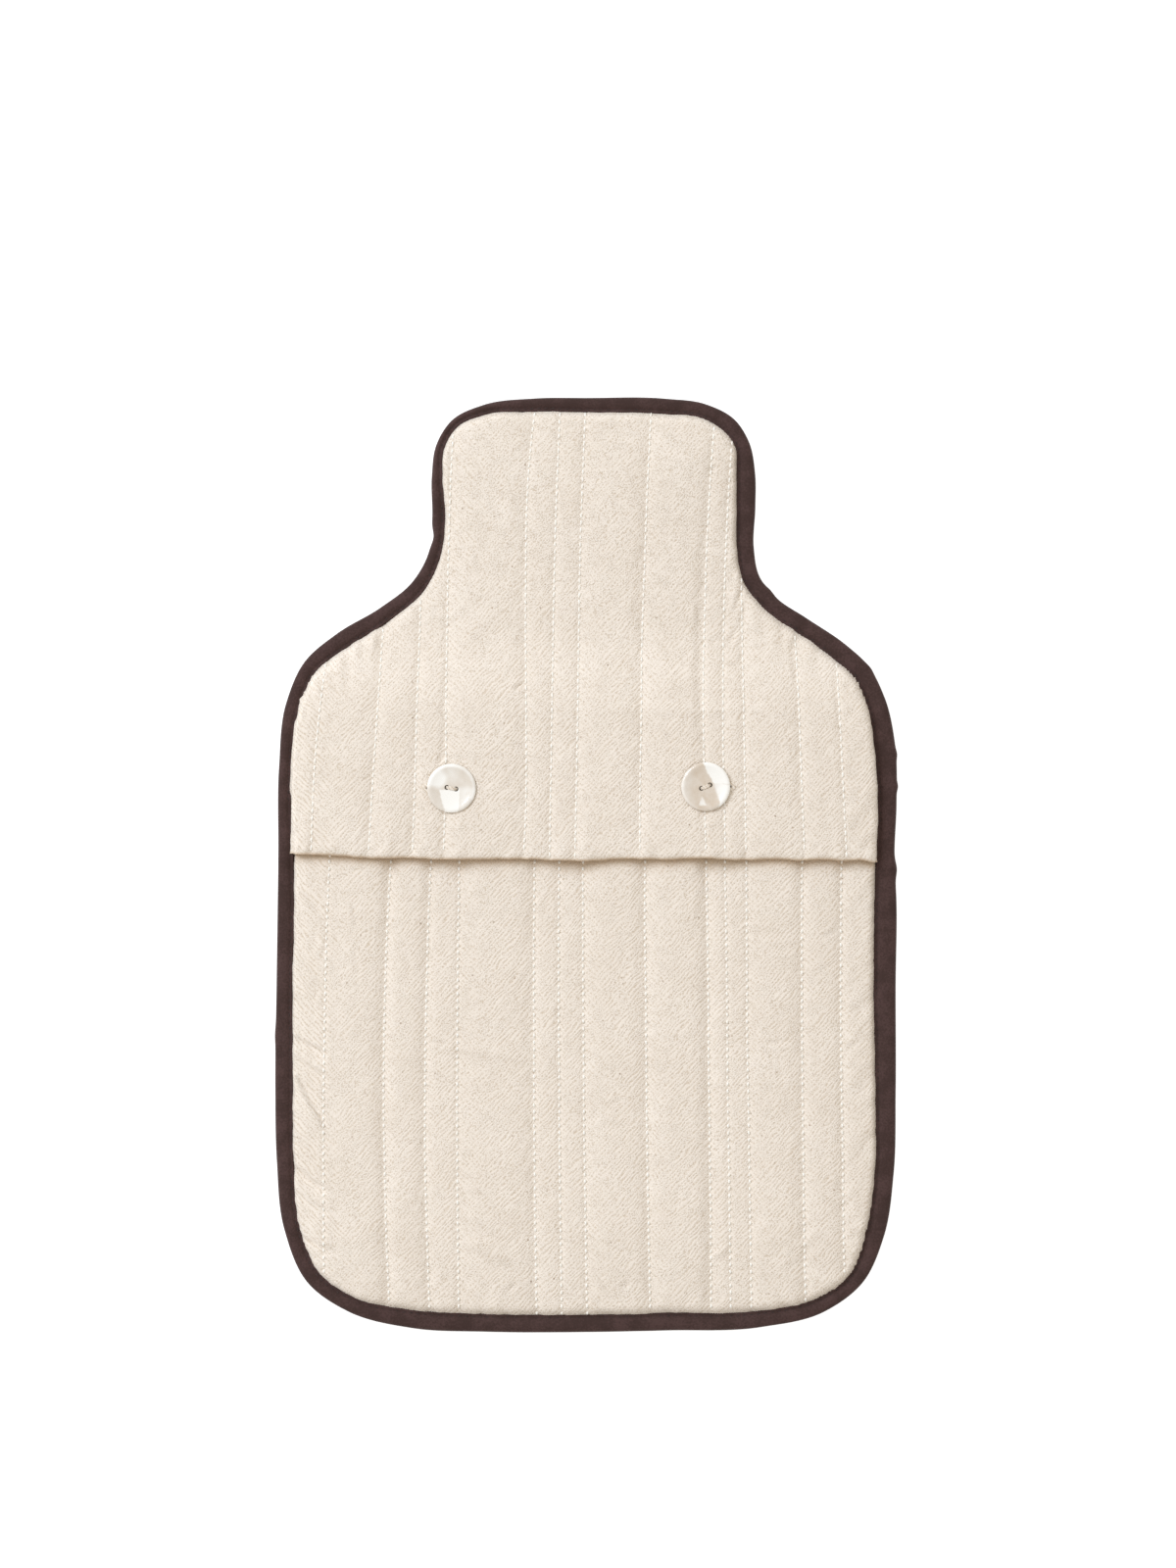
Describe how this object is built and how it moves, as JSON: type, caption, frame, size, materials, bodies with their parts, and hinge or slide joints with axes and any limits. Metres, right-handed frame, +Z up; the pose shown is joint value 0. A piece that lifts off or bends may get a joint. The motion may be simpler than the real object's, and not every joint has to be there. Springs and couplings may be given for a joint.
{
  "type": "hot water bottle cover",
  "caption": "Flat quilted cotton cover for a hot water bottle, with an overlapping buttoned flap and dark binding all round.",
  "frame": {"origin": "middle of the cover's box, on the surface that it lies on", "axes": "+Y towards the bottle's neck, +Z up out of the buttoned front, +X to the right seen from the front"},
  "size_m": [0.2414, 0.3631, 0.0197],
  "materials": {
    "quilted_cotton": "natural unbleached brushed cotton twill, matt and slightly fuzzy",
    "cotton_binding": "dark brown plain-woven cotton, matt",
    "shell_button": "polished shell with a pearly glare",
    "sewing_thread": "off-white cotton sewing thread"
  },
  "bodies": {
    "root": {"back_panel": "quilted_cotton", "front_lower_panel": "quilted_cotton", "front_upper_panel": "quilted_cotton", "binding": "cotton_binding", "button_left": "shell_button", "button_right": "shell_button", "button_thread_left": "sewing_thread", "button_thread_right": "sewing_thread"}
  },
  "joints": []
}
